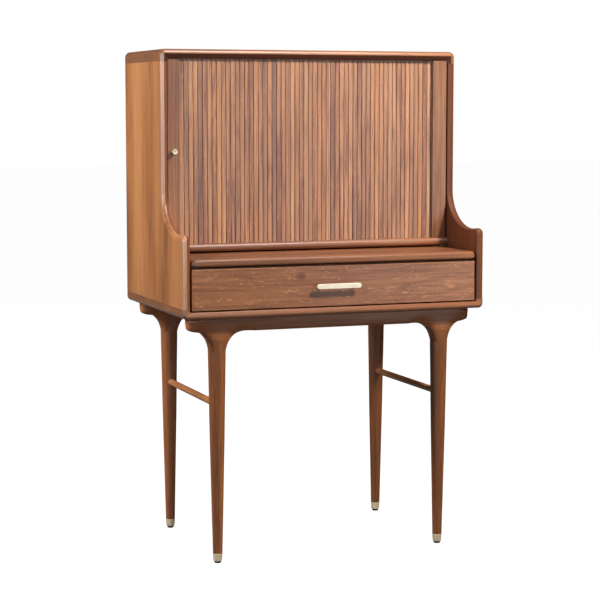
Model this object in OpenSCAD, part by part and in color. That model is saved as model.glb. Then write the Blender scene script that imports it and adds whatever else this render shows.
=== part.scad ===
// Tambour writing desk: a shallow cabinet behind a sideways-sliding slatted curtain, a pull-out
// writing board and one full-width drawer, on a low frame with four turned legs.
// The front faces -Y, +X is to the right and +Z is up. The origin is on the floor, under the
// middle of the desk. Lengths are millimetres.

/* [Case] */
// Overall width of the case
case_w = 796; // [780:1:820]
// Overall depth of the case, without the handle
case_d = 504; // [490:1:530]
// Height from the floor to the top of the desk
desk_h = 1260; // [1240:1:1290]
// Height from the floor to the underside of the case
case_z = 611; // [605:1:615]
// Thickness of the side panels
side_t = 19; // [18:0.5:20]
// Thickness of the top board between the sides
top_t = 23; // [22:0.5:26]
// Height of the top board's end blocks, which carry the rounded corners
top_end_h = 30; // [28:1:36]
// Thickness of the bottom board between the sides
bottom_t = 17; // [16:0.5:18]
// Height of the bottom board's end blocks
bottom_end_h = 25; // [22:1:28]
// Radius of the rounded outer corners of the top and bottom boards
corner_r = 14; // [8:1:16]
// Thickness of the plywood back panel
back_t = 6; // [5:0.5:8]

/* [Side outline] */
// How far the upper cabinet stands back from the front of the case
upper_set = 180; // [170:1:190]
// Lowest height of the concave sweep between the upper cabinet and the arm
sweep_low_z = 810; // [800:1:815]
// Length of the sweep, front to back
sweep_len = 132; // [120:1:140]
// Height of the sweep
sweep_rise = 95; // [85:1:110]
// How far the arm's tip rises above the lowest point
arm_rise = 3; // [1:1:5]
// Radius of the arm's rounded front corner
arm_r = 14; // [10:1:18]

/* [Tambour] */
// Width of one slat
slat_w = 12.2; // [12:0.1:12.3]
// Thickness of the slats with the canvas behind them
slat_t = 8; // [7:0.5:8]
// Width of the gap between two slats
slat_gap = 1.6; // [1:0.2:2.4]
// Thickness of the canvas that the slats are glued to
canvas_t = 1; // [0.8:0.1:1.5]
// Slats in each strip of the curtain
strip_slats = 5; // [4:1:5]
// Width of the leading stile
lead_w = 29.6; // [28:0.2:30]
// Thickness of the leading stile
lead_t = 14; // [13:0.5:14]
// Width of the fixed jamb at the right
jamb_w = 38; // [36:1:38]
// Height of the knob above the floor
knob_z = 1008; // [900:1:1100]
// Diameter of the knob
knob_d = 17; // [14:1:20]

/* [Writing board] */
// Thickness of the writing board
board_t = 19.2; // [18:0.2:19.2]
// Length of the writing board, front to back
board_len = 470; // [460:1:474]
// Radius of the board's front corners in plan
board_r = 14; // [8:1:20]

/* [Drawer] */
// Height of the drawer front
front_h = 100; // [94:1:100]
// Thickness of the drawer front
front_t = 22; // [18:1:22]
// Gap beside the drawer front
front_gap = 5; // [3:0.5:6]
// Thickness of the drawer's sides and back
drawer_t = 14; // [12:1:16]
// Thickness of the drawer bottom
drawer_bottom_t = 6; // [4:1:8]
// Length of the handle bar
handle_l = 118; // [100:1:140]
// Height of the handle bar
handle_h = 13; // [11:1:16]
// How far the handle bar's face stands out from the front of the case
handle_out = 12; // [10:1:16]

/* [Base] */
// Distance from the outside of the case to the leg centres
leg_in_x = 101; // [95:1:110]
// Distance from the front of the case to the front leg centres
leg_in_front = 52; // [48:1:60]
// Distance from the back of the case to the rear leg centres
leg_in_rear = 44; // [40:1:60]
// Leg diameter at the top
leg_d_top = 44; // [42:1:44]
// Leg diameter at mid height
leg_d_mid = 36.6; // [35:0.2:38]
// Leg diameter just above the ferrule
leg_d_low = 24; // [23:0.5:26]
// Distance from the outside of the case to the ends of the aprons
apron_in = 20; // [16:1:24]
// Height of the aprons between the legs
apron_h = 36; // [34:1:38]
// Height of the side stretchers above the floor
stretcher_z = 395; // [350:1:430]
// Diameter of the side stretchers
stretcher_d = 17; // [15:1:19]

/* [Hidden] */

$fn = 64;
eps = 0.01;
run_gap = 0.4;
walnut = [0.66, 0.42, 0.27];
walnut_slat = [0.62, 0.41, 0.30];
walnut_dark = [0.36, 0.20, 0.13];
inner_wood = [0.72, 0.55, 0.38];
brass_tone = [0.90, 0.80, 0.60];
steel_tone = [0.62, 0.62, 0.63];
black_tone = [0.05, 0.05, 0.05];

// Inside of the case
in_x = [side_t, case_w - side_t];
back_y = [case_d - 18, case_d - 18 + back_t];
groove_d = 6;
side_z = [case_z + bottom_end_h, desk_h - top_end_h];
top_under_z = desk_h - top_t;
mid_y = (case_d - handle_out) / 2;

// Levels between the case floor and the upper cabinet
front_z = [case_z + 20, case_z + 20 + front_h];
dust_z = [case_z + 111.5, case_z + 121];
board_z = [case_z + 125.4, case_z + 125.4 + board_t];
deck_z = [case_z + 148, case_z + 162];
sill_top_z = case_z + 168;

// The curtain runs in a groove behind the sill
sill_y = [upper_set - 6, upper_set + 10.8];
groove_y = [sill_y[1], upper_set + 23.2];
groove_depth = 6;
curtain_z = [deck_z[1] + run_gap, top_under_z + groove_depth - run_gap];
curtain_y = upper_set + 12;
lead_x = [side_t + 2.6, side_t + 2.6 + lead_w];
jamb_x = [in_x[1] - 3 - jamb_w, in_x[1] - 3];
strip_x0 = lead_x[1] + 0.3;
strip_count = 12;
strip_w = strip_slats * slat_w;
strip_step_y = 0.1;

// Hidden pocket and shelves
pocket_gap = 14;
liner_t = 6;
liner_x = [in_x[1] - pocket_gap - liner_t, in_x[1] - pocket_gap];
liner_y = [back_y[0] - 10 - liner_t, back_y[0] - 10];
track_y = [groove_y[1], groove_y[1] + 12];
shelf_t = 10;
shelf_y = [track_y[1] + 12, liner_y[0]];
shelf_low_z = 925;
shelf_high_z = 1085;

// Drawer box
runner_t = 10.9;
runner_z = [case_z + 59, case_z + 69];
box_x = [side_t + 5.5, case_w - side_t - 5.5];
box_y = [4 + front_t, 4 + front_t + 440];
box_z = [front_z[0] + 6, dust_z[0] - 4.5];
floor_z = [box_z[0] + 6, box_z[0] + 6 + drawer_bottom_t];
floor_groove = 5;
handle_z = (front_z[0] + front_z[1]) / 2;
post_dx = handle_l / 2 - 16;

// Base frame
apron_z = case_z - apron_h;
joint_z = apron_z - 19;
neck_z = apron_z - 46;
leg_mid_z = 306;
ferrule_z = [5.8, 24.5];
apron_front_y = leg_in_front;
apron_rear_y = case_d - leg_in_rear;
leg_r_at = [leg_d_low / 2, leg_d_mid / 2, leg_d_top / 2];

// ---------------------------------------------------------------- helpers

// Moves a shape from case coordinates, with the front left corner at 0, to the desk's own frame
module placed() {
  translate([-case_w / 2, -mid_y, 0]) children();
}

// A block that spans three ranges
module block(x, y, z) {
  translate([x[0], y[0], z[0]])
    cube([x[1] - x[0], y[1] - y[0], z[1] - z[0]]);
}

// Extrudes an X-Z outline along Y
module along_y(y) {
  translate([0, y[1], 0])
    rotate([90, 0, 0])
      linear_extrude(y[1] - y[0])
        children();
}

// Extrudes a Y-Z outline along X
module along_x(x) {
  translate([x[0], 0, 0])
    rotate([90, 0, 90])
      linear_extrude(x[1] - x[0])
        children();
}

// A cylinder along Y
module rod_y(d, y) {
  translate([0, y[0], 0])
    rotate([-90, 0, 0])
      cylinder(d = d, h = y[1] - y[0]);
}

// A rectangle with its two upper corners rounded
module round_top(w, h, r) {
  square([w, h - r]);
  translate([r, 0])
    square([w - 2 * r, h]);
  for (x = [r, w - r])
    translate([x, h - r])
      circle(r);
}

// The right-hand twin of a left-hand shape
module mirrored() {
  translate([case_w, 0, 0])
    mirror([1, 0, 0])
      children();
}

// ---------------------------------------------------------------- case

// Upright dowels between the side panels and the boards
dowel_d = 8;
dowel_in = 16;
dowel_ys_top = [for (k = [0:3]) upper_set + 50 + k * 78];
dowel_ys_bottom = [for (k = [0:3]) 60 + k * 125];

module dowel_row(ys, z) {
  for (y = ys)
    for (x = [side_t / 2, case_w - side_t / 2])
      translate([x, y, z - dowel_in])
        cylinder(d = dowel_d, h = 2 * dowel_in);
}

module all_dowels() {
  dowel_row(dowel_ys_top, side_z[1]);
  dowel_row(dowel_ys_bottom, side_z[0]);
}

// The back panel sits in a groove all the way round
module back_solid() {
  block([in_x[0] - groove_d, in_x[1] + groove_d], back_y,
        [case_z + bottom_t - groove_d, top_under_z + groove_d]);
}

module top_section() {
  inner_w = in_x[1] - in_x[0];
  inner_h = top_end_h - top_t;
  difference() {
    round_top(case_w, top_end_h, corner_r);
    translate([in_x[0], -eps])
      round_top(inner_w, inner_h + eps, inner_h);
  }
}

// The rounded inner corners show only at the front edge
fillet_len = 3.5;

module top_board() {
  color(walnut) placed() difference() {
    translate([0, 0, side_z[1]])
      along_y([upper_set, case_d])
        top_section();
    block(in_x, [upper_set + fillet_len, case_d + 1], [side_z[1] - 1, top_under_z]);
    block([in_x[0] + 1, in_x[1] - 0.5], groove_y, [side_z[1], top_under_z + groove_depth]);
    back_solid();
    all_dowels();
  }
}

module bottom_section() {
  inner_w = in_x[1] - in_x[0];
  inner_h = bottom_end_h - bottom_t;
  difference() {
    round_top(case_w, bottom_end_h, corner_r - 2);
    translate([in_x[0], -eps])
      round_top(inner_w, inner_h + eps, inner_h / 2);
  }
}

module bottom_board() {
  color(walnut) placed() difference() {
    translate([0, case_d, side_z[0]])
      rotate([180, 0, 0])
        along_y([0, case_d])
          bottom_section();
    back_solid();
    all_dowels();
    screw_holes();
  }
}

// Outline of a side panel: an elliptical sweep runs from the upper edge down to the arm
sweep_c = [upper_set - sweep_len, sweep_low_z + sweep_rise];
sweep_points = [for (a = [0:5:90])
  [sweep_c[0] + sweep_len * cos(a), sweep_c[1] - sweep_rise * sin(a)]];
arm_z = sweep_low_z + arm_rise;
arm_points = [for (a = [90:15:180])
  [arm_r + arm_r * cos(a), arm_z - arm_r + arm_r * sin(a)]];
side_outline = concat(
  [[0, side_z[0]], [case_d, side_z[0]], [case_d, side_z[1]], [upper_set, side_z[1]]],
  sweep_points,
  arm_points
);

module side_panel() {
  difference() {
    along_x([0, side_t])
      polygon(side_outline);
    back_solid();
    all_dowels();
  }
}

module left_side() {
  color(walnut) placed() side_panel();
}

module right_side() {
  color(walnut) placed() mirrored() side_panel();
}

module back_panel() {
  color(inner_wood) placed() back_solid();
}

module deck_panel() {
  color(inner_wood) placed()
    block(in_x, [sill_y[1], back_y[0]], deck_z);
}

module dust_panel() {
  color(inner_wood) placed()
    block(in_x, [30, back_y[0]], dust_z);
}

// Round-nosed rail at the foot of the curtain
module sill_rail() {
  h = sill_top_z - deck_z[0];
  r = h / 2;
  color(walnut) placed() along_x(in_x)
    intersection() {
      union() {
        translate([sill_y[0] + r, deck_z[0] + r])
          circle(r);
        translate([sill_y[0] + r, deck_z[0]])
          square([h, h]);
      }
      translate([sill_y[0], deck_z[0]])
        square([sill_y[1] - sill_y[0], h]);
    }
}

module right_jamb() {
  color(walnut_slat) placed()
    block(jamb_x, [upper_set + 4, upper_set + 11.2], [sill_top_z, top_under_z]);
}

// Strip behind the curtain that closes the lower groove
module curtain_track() {
  color(inner_wood) placed()
    block([in_x[0], in_x[1] - pocket_gap - liner_t], track_y, [deck_z[1], sill_top_z]);
}

module pocket_liner_right() {
  color(inner_wood) placed()
    block(liner_x, [track_y[0], liner_y[1]], [deck_z[1], top_under_z]);
}

module pocket_liner_back() {
  color(inner_wood) placed()
    block([in_x[0], liner_x[0]], liner_y, [deck_z[1], top_under_z]);
}

module shelf(z) {
  block([in_x[0], liner_x[0]], shelf_y, [z, z + shelf_t]);
}

module shelf_lower() {
  color(inner_wood) placed() shelf(shelf_low_z);
}

module shelf_upper() {
  color(inner_wood) placed() shelf(shelf_high_z);
}

// Upright divider at a share of the inner width, between two heights
module divider(share, z) {
  x = in_x[0] + share * (liner_x[0] - in_x[0]);
  block([x - shelf_t / 2, x + shelf_t / 2], [shelf_y[0] + 8, shelf_y[1]], z);
}

module divider_left() {
  color(inner_wood) placed() divider(1 / 3, [deck_z[1], shelf_low_z]);
}

module divider_right() {
  color(inner_wood) placed() divider(2 / 3, [deck_z[1], shelf_low_z]);
}

module divider_mid() {
  color(inner_wood) placed() divider(1 / 2, [shelf_low_z + shelf_t, shelf_high_z]);
}

// Strips that the writing board slides on, and strips that hold it down
guide_w = 20;

module board_guide() {
  block([in_x[0], in_x[0] + guide_w], [34, back_y[0]], [dust_z[1], board_z[0] - run_gap]);
}

module board_kicker() {
  block([in_x[0], in_x[0] + guide_w], [sill_y[0] + 8, back_y[0]],
        [board_z[1] + run_gap, deck_z[0]]);
}

module board_guide_left() {
  color(inner_wood) placed() board_guide();
}

module board_guide_right() {
  color(inner_wood) placed() mirrored() board_guide();
}

module board_kicker_left() {
  color(inner_wood) placed() board_kicker();
}

module board_kicker_right() {
  color(inner_wood) placed() mirrored() board_kicker();
}

module drawer_runner() {
  block([in_x[0], in_x[0] + runner_t], [34, box_y[1] + 6], runner_z);
}

module drawer_runner_left() {
  color(inner_wood) placed() drawer_runner();
}

module drawer_runner_right() {
  color(inner_wood) placed() mirrored() drawer_runner();
}

module case_dowels() {
  color(inner_wood) placed() all_dowels();
}

// ---------------------------------------------------------------- base

// X-Z outline of one leg's shoulders, about the leg's own axis
outer_r = 40;
inner_r = 46;
neck_w = leg_d_top + 1;

module shoulder_outline() {
  left = neck_w / 2 + outer_r;
  right = neck_w / 2 + inner_r;
  difference() {
    translate([-left, neck_z])
      square([left + right, apron_z - neck_z]);
    translate([-left, apron_z - outer_r])
      circle(outer_r);
    translate([-left - eps, neck_z - eps])
      square([outer_r + eps, apron_z - outer_r - neck_z + eps]);
    translate([right, apron_z - inner_r])
      circle(inner_r);
  }
}

module rail_outline() {
  translate([apron_in, case_z])
    mirror([0, 1])
      round_top(case_w - 2 * apron_in, apron_h, 12);
}

module apron(y) {
  along_y([y - leg_d_top / 2, y + leg_d_top / 2])
    intersection() {
      union() {
        rail_outline();
        translate([leg_in_x, 0])
          shoulder_outline();
        translate([case_w - leg_in_x, 0])
          mirror([1, 0])
            shoulder_outline();
      }
      translate([0, joint_z])
        square([case_w, case_z - joint_z]);
    }
}

// Screws up through the aprons into the case
screw_xs = [60, case_w / 2, case_w - 60];
screw_d = 5;
screw_head_d = 9;
screw_head_z = apron_z + 14;

module screw_holes() {
  for (y = [apron_front_y, apron_rear_y])
    for (x = screw_xs)
      translate([x, y, screw_head_z])
        cylinder(d = screw_d, h = 30);
}

module screw_pockets() {
  screw_holes();
  for (y = [apron_front_y, apron_rear_y])
    for (x = screw_xs)
      translate([x, y, joint_z])
        cylinder(d = screw_head_d + 1, h = screw_head_z + 4 - joint_z);
}

tenon_d = 28;
tenon_z = case_z - 12;

module tenon_holes(y) {
  for (x = [leg_in_x, case_w - leg_in_x])
    translate([x, y, joint_z - eps])
      cylinder(d = tenon_d, h = tenon_z - joint_z + eps);
}

module front_apron() {
  color(walnut_dark) placed() difference() {
    apron(apron_front_y);
    tenon_holes(apron_front_y);
    screw_pockets();
  }
}

module rear_apron() {
  color(walnut_dark) placed() difference() {
    apron(apron_rear_y);
    tenon_holes(apron_rear_y);
    screw_pockets();
  }
}

// Turned shaft of a leg with a spigot for the ferrule below and a tenon above
spigot_d = 17;
spigot_z = 10;

module leg_shaft() {
  rotate_extrude()
    polygon([
      [0, spigot_z],
      [spigot_d / 2, spigot_z],
      [spigot_d / 2, ferrule_z[1]],
      [leg_r_at[0], ferrule_z[1]],
      [leg_r_at[1], leg_mid_z],
      [leg_r_at[2], neck_z],
      [leg_r_at[2], joint_z],
      [tenon_d / 2, joint_z],
      [tenon_d / 2, tenon_z],
      [0, tenon_z]
    ]);
}

// Socket in a leg for the stretcher's round tenon, on the side that the stretcher is
stub_d = 11;
stub_in = 12;

// dir is 1 where the stretcher runs back from the leg and -1 where it runs forward
module leg(dir) {
  difference() {
    union() {
      leg_shaft();
      along_y([-leg_d_top / 2, leg_d_top / 2])
        intersection() {
          shoulder_outline();
          translate([-leg_d_top * 2, neck_z])
            square([leg_d_top * 4, joint_z - neck_z]);
        }
    }
    translate([0, 0, stretcher_z])
      mirror([0, (1 - dir) / 2, 0])
        rod_y(stub_d, [0, leg_d_top]);
  }
}

module leg_front_left() {
  color(walnut_dark) placed()
    translate([leg_in_x, apron_front_y, 0])
      leg(1);
}

module leg_front_right() {
  color(walnut_dark) placed() mirrored()
    translate([leg_in_x, apron_front_y, 0])
      leg(1);
}

module leg_rear_left() {
  color(walnut_dark) placed()
    translate([leg_in_x, apron_rear_y, 0])
      leg(-1);
}

module leg_rear_right() {
  color(walnut_dark) placed() mirrored()
    translate([leg_in_x, apron_rear_y, 0])
      leg(-1);
}

module at_legs() {
  for (x = [leg_in_x, case_w - leg_in_x])
    for (y = [apron_front_y, apron_rear_y])
      translate([x, y, 0])
        children();
}

stem_d = 6;

module leg_ferrules() {
  r_top = leg_d_low / 2 + 0.3;
  r_low = leg_d_low / 2 - 1.2;
  color(brass_tone) placed() at_legs()
    rotate_extrude()
      polygon([
        [stem_d / 2, ferrule_z[0]],
        [r_low, ferrule_z[0]],
        [r_top, ferrule_z[1]],
        [spigot_d / 2, ferrule_z[1]],
        [spigot_d / 2, spigot_z],
        [stem_d / 2, spigot_z]
      ]);
}

module glide_feet() {
  r = 8.6;
  color(black_tone) placed() at_legs()
    rotate_extrude()
      polygon([
        [0, 0],
        [r - 1.6, 0],
        [r, 1.6],
        [r, ferrule_z[0]],
        [stem_d / 2, ferrule_z[0]],
        [stem_d / 2, spigot_z],
        [0, spigot_z]
      ]);
}

// Round stretcher between the front and rear legs, coped to the legs at its ends
module stretcher() {
  difference() {
    translate([leg_in_x, 0, stretcher_z])
      rod_y(stretcher_d, [apron_front_y, apron_rear_y]);
    for (y = [apron_front_y, apron_rear_y])
      translate([leg_in_x, y, 0])
        leg_shaft();
  }
  translate([leg_in_x, 0, stretcher_z])
    rod_y(stub_d, [apron_front_y, apron_rear_y]);
}

module stretcher_left() {
  color(walnut_dark) placed() stretcher();
}

module stretcher_right() {
  color(walnut_dark) placed() mirrored() stretcher();
}

module base_screws() {
  color(steel_tone) placed()
    for (y = [apron_front_y, apron_rear_y])
      for (x = screw_xs)
        translate([x, y, screw_head_z]) {
          cylinder(d = screw_d, h = 30);
          translate([0, 0, 0])
            cylinder(d = screw_head_d, h = 4);
        }
}

// ---------------------------------------------------------------- drawer

handle_screw_d = 4;

module handle_holes(d, y) {
  for (s = [-1, 1])
    translate([case_w / 2 + s * post_dx, 0, handle_z])
      rod_y(d, y);
}

module drawer_front() {
  color(walnut) placed() difference() {
    block([side_t + front_gap, case_w - side_t - front_gap], [4, 4 + front_t], front_z);
    block([box_x[0] + drawer_t - floor_groove, box_x[1] - drawer_t + floor_groove],
          [box_y[0] - floor_groove, box_y[0] + eps], floor_z);
    handle_holes(handle_screw_d, [0, box_y[0] + 1]);
  }
}

module drawer_side() {
  difference() {
    block([box_x[0], box_x[0] + drawer_t], box_y, box_z);
    block([box_x[0] - 1, in_x[0] + runner_t + 0.3], [box_y[0] - 1, box_y[1] + 1],
          [runner_z[0] - 0.3, runner_z[1] + 0.3]);
    block([box_x[0] + drawer_t - floor_groove, box_x[0] + drawer_t + 1],
          [box_y[0] - 1, box_y[1] + 1], floor_z);
  }
}

module drawer_side_left() {
  color(inner_wood) placed() drawer_side();
}

module drawer_side_right() {
  color(inner_wood) placed() mirrored() drawer_side();
}

// The back stands on the drawer bottom
module drawer_back() {
  color(inner_wood) placed()
    block([box_x[0] + drawer_t, box_x[1] - drawer_t], [box_y[1] - drawer_t, box_y[1]],
          [floor_z[1], box_z[1]]);
}

module drawer_bottom() {
  color(inner_wood) placed()
    block([box_x[0] + drawer_t - floor_groove, box_x[1] - drawer_t + floor_groove],
          [box_y[0] - floor_groove, box_y[1]], floor_z);
}

handle_t = 4;

module drawer_handle() {
  r = handle_h / 2;
  color(brass_tone) placed()
    translate([case_w / 2, 0, handle_z])
      along_y([-handle_out, -handle_out + handle_t]) {
        square([handle_l - handle_h, handle_h], center = true);
        for (s = [-1, 1])
          translate([s * (handle_l / 2 - r), 0])
            circle(r);
      }
}

module handle_posts() {
  color(brass_tone) placed() difference() {
    handle_holes(8, [-handle_out + handle_t, 4]);
    handle_holes(handle_screw_d, [-handle_out + handle_t + 3, 5]);
  }
}

module handle_screws() {
  color(steel_tone) placed() {
    handle_holes(handle_screw_d, [-handle_out + handle_t + 3, box_y[0]]);
    handle_holes(8, [box_y[0], box_y[0] + 2.4]);
  }
}

// ---------------------------------------------------------------- writing board

module writing_board() {
  x = [in_x[0] + 2.5, in_x[1] - 2.5];
  color(walnut) placed()
    translate([0, 0, board_z[0]])
      linear_extrude(board_t) {
        translate([x[0], board_r])
          square([x[1] - x[0], board_len - board_r]);
        translate([x[0] + board_r, 0])
          square([x[1] - x[0] - 2 * board_r, board_r + 1]);
        for (cx = [x[0] + board_r, x[1] - board_r])
          translate([cx, board_r])
            circle(board_r);
      }
}

// ---------------------------------------------------------------- tambour

lead_y = upper_set + 8;
tongue_t = 9;
knob_x = (lead_x[0] + lead_x[1]) / 2;
knob_h = 13;
knob_screw_d = 4;

module curtain_lead() {
  color(walnut_slat) placed() difference() {
    union() {
      block(lead_x, [lead_y, lead_y + lead_t], [sill_top_z + 0.6, top_under_z - 0.6]);
      block(lead_x, [curtain_y, curtain_y + tongue_t], curtain_z);
    }
    translate([knob_x, 0, knob_z])
      rod_y(knob_screw_d, [lead_y - 1, lead_y + lead_t + 1]);
    translate([knob_x, 0, knob_z])
      rod_y(8.4, [lead_y + lead_t - 2.5, lead_y + lead_t + 1]);
  }
}

// Turned knob with a waisted neck and a dished face
module curtain_knob() {
  r = knob_d / 2;
  color(brass_tone) placed()
    translate([knob_x, lead_y, knob_z])
      rotate([90, 0, 0])
        difference() {
          rotate_extrude()
            polygon([
              [0, 0],
              [r - 2.5, 0],
              [r - 3.5, 3],
              [r - 3.5, 5],
              [r, 7],
              [r, knob_h - 1.5],
              [r - 1.5, knob_h],
              [r - 3, knob_h],
              [r - 5, knob_h - 1.2],
              [0, knob_h - 1.2]
            ]);
          translate([0, 0, -1])
            cylinder(d = knob_screw_d, h = 8);
        }
}

module knob_screw() {
  color(steel_tone) placed()
    translate([knob_x, 0, knob_z]) {
      rod_y(knob_screw_d, [lead_y - 7, lead_y + lead_t - 2.4]);
      rod_y(8, [lead_y + lead_t - 2.5, lead_y + lead_t - 0.3]);
    }
}

// One strip of the curtain: slats with chamfered edges on a canvas backing.
// Each strip lies a hair further back than the one before it, so their faces never coincide.
module curtain_strip(k, slats) {
  x0 = strip_x0 + (k - 1) * strip_w;
  y0 = curtain_y + strip_step_y * (k - 1);
  c = slat_gap / 2;
  color(walnut_slat) placed()
    translate([x0, y0, curtain_z[0]])
      linear_extrude(curtain_z[1] - curtain_z[0]) {
        for (i = [0:slats - 1])
          translate([i * slat_w, 0])
            polygon([
              [c + 0.6, 0],
              [slat_w - c - 0.6, 0],
              [slat_w - c / 2, 2.4],
              [slat_w - c / 2, slat_t - canvas_t],
              [c / 2, slat_t - canvas_t],
              [c / 2, 2.4]
            ]);
        translate([0.1, slat_t - canvas_t])
          square([slats * slat_w - 0.2, canvas_t]);
      }
}

module curtain_strip_01() { curtain_strip(1, strip_slats); }
module curtain_strip_02() { curtain_strip(2, strip_slats); }
module curtain_strip_03() { curtain_strip(3, strip_slats); }
module curtain_strip_04() { curtain_strip(4, strip_slats); }
module curtain_strip_05() { curtain_strip(5, strip_slats); }
module curtain_strip_06() { curtain_strip(6, strip_slats); }
module curtain_strip_07() { curtain_strip(7, strip_slats); }
module curtain_strip_08() { curtain_strip(8, strip_slats); }
module curtain_strip_09() { curtain_strip(9, strip_slats); }
module curtain_strip_10() { curtain_strip(10, strip_slats); }
module curtain_strip_11() { curtain_strip(11, strip_slats); }
module curtain_strip_12() { curtain_strip(12, strip_slats - 1); }

top_board();
bottom_board();
left_side();
right_side();
back_panel();
deck_panel();
dust_panel();
sill_rail();
right_jamb();
curtain_track();
pocket_liner_right();
pocket_liner_back();
shelf_lower();
shelf_upper();
divider_left();
divider_right();
divider_mid();
board_guide_left();
board_guide_right();
board_kicker_left();
board_kicker_right();
drawer_runner_left();
drawer_runner_right();
case_dowels();
front_apron();
rear_apron();
leg_front_left();
leg_front_right();
leg_rear_left();
leg_rear_right();
leg_ferrules();
glide_feet();
stretcher_left();
stretcher_right();
base_screws();
drawer_front();
drawer_side_left();
drawer_side_right();
drawer_back();
drawer_bottom();
drawer_handle();
handle_posts();
handle_screws();
writing_board();
curtain_lead();
curtain_knob();
knob_screw();
curtain_strip_01();
curtain_strip_02();
curtain_strip_03();
curtain_strip_04();
curtain_strip_05();
curtain_strip_06();
curtain_strip_07();
curtain_strip_08();
curtain_strip_09();
curtain_strip_10();
curtain_strip_11();
curtain_strip_12();
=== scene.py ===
"""Looks of the tambour writing desk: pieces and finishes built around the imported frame."""
import logging
import math
from dataclasses import dataclass, replace
from enum import Enum
from typing import Callable, Iterable, Sequence

import bmesh
import bpy
from bmesh.types import BMEdge, BMesh, BMFace, BMLayerItem, BMVert
from bpy.types import (
    ID, Material, NodeSocket, NodeTree, Object, ShaderNode,
    bpy_prop_collection as Sockets,
)
from mathutils import Euler, Matrix, Vector


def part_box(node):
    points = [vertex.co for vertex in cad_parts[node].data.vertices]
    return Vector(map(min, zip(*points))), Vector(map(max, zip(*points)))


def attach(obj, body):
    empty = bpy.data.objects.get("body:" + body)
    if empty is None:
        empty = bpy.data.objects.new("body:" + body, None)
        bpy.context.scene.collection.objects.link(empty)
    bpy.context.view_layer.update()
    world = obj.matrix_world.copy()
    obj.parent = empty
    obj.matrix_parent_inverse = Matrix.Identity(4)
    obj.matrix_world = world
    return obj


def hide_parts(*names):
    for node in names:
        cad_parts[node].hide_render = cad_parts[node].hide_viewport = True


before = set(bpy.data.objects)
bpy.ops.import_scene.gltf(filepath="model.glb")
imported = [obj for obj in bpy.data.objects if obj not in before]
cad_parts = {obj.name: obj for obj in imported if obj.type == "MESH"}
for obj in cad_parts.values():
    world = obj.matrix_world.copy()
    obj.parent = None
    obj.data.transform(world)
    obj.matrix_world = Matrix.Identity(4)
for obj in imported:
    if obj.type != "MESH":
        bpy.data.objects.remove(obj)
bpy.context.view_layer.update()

LOG = logging.getLogger("desk")
MM = 0.001
NEAR = 0.05 * MM
WELD = 0.01 * MM
HAIR = 1e-6
X, Y, Z = range(3)
TINY, SMALL, MEDIUM, LARGE = 2, 3, 5, 8  # faces to a round, by how large it is
FLAT, CORNER = math.radians(0.6), math.radians(30.0)
CREASE, SLAT_CREASE, CURVED_CREASE = (math.radians(angle) for angle in (38.0, 50.0, 60.0))
QUARTER_TURN = math.radians(90.0)
RGB = tuple[float, float, float]
EVEN = (1.0, 1.0, 1.0)
RIM = "rim"


class Grain(Enum):
    """Which way the fibres of a board run; the value turns them onto the pattern's own Z."""

    UPRIGHT = (0.0, 0.0, 0.0)
    ACROSS = (0.0, QUARTER_TURN, 0.0)
    DEEP = (QUARTER_TURN, 0.0, 0.0)


# ------------------------------------------------------------------ node helpers


@dataclass(frozen=True)
class Layer:
    """One soft random pattern.

    scale is how many patches there are to the metre, detail how many finer layers are added,
    roughness how strong those are, distortion how far the pattern is pushed about, and squash
    how much each axis is scaled, so that a small number draws the pattern out.
    """

    scale: float
    detail: float = 2.0
    roughness: float = 0.5
    distortion: float = 0.0
    squash: tuple[float, float, float] = EVEN


TONE = Layer(8.0, distortion=0.2, squash=(1.0, 1.0, 0.16))
STREAK = Layer(170.0, 4.0, 0.65, 0.2, (1.0, 1.0, 0.03))
FIBRE = Layer(480.0, 3.0, 0.65, squash=(1.0, 1.0, 0.012))
ARCHES = Layer(7.0, 4.0, 0.5, 0.2, (1.0, 1.0, 0.06))
SPOTS = Layer(120.0, 4.0, 0.6, 1.4, (1.0, 1.0, 0.3))
PORES = Layer(380.0, squash=(1.0, 1.0, 0.05))
# Patches of the rim colour: rubbed wear on eased edges, painted shade on the leaning front strips.
RUB_AND_SHADE_PATCHES = Layer(34.0, 4.0, 0.6, 0.5)
RIPPLE = Layer(160.0, 3.0, 0.6)
SPECKS = Layer(900.0, 2.0, 0.6)
BANDS = Layer(90.0, 3.0, squash=(1.0, 0.12, 1.0))
SMEARS = Layer(22.0, 5.0, 0.65, 0.8)
TARNISH = Layer(60.0, 4.0, 0.6, 0.4)
PEBBLES = Layer(2200.0)
DUST = Layer(120.0, 4.0, 0.6)

STREAK_SHARE = 1.5
FIBRE_SHARE = 1.1
PORE_SHARE = 0.35
RINGS_TO_AN_ARCH = 30.0
SLAT_STEPS = (0.37, 9.0)
CHANCE_OFFSETS = (0.0, 71.3, 133.9)
BLOCK_EDGE = 6 * MM
DARK_SPECK = (0.02, 0.01, 0.006)


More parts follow.
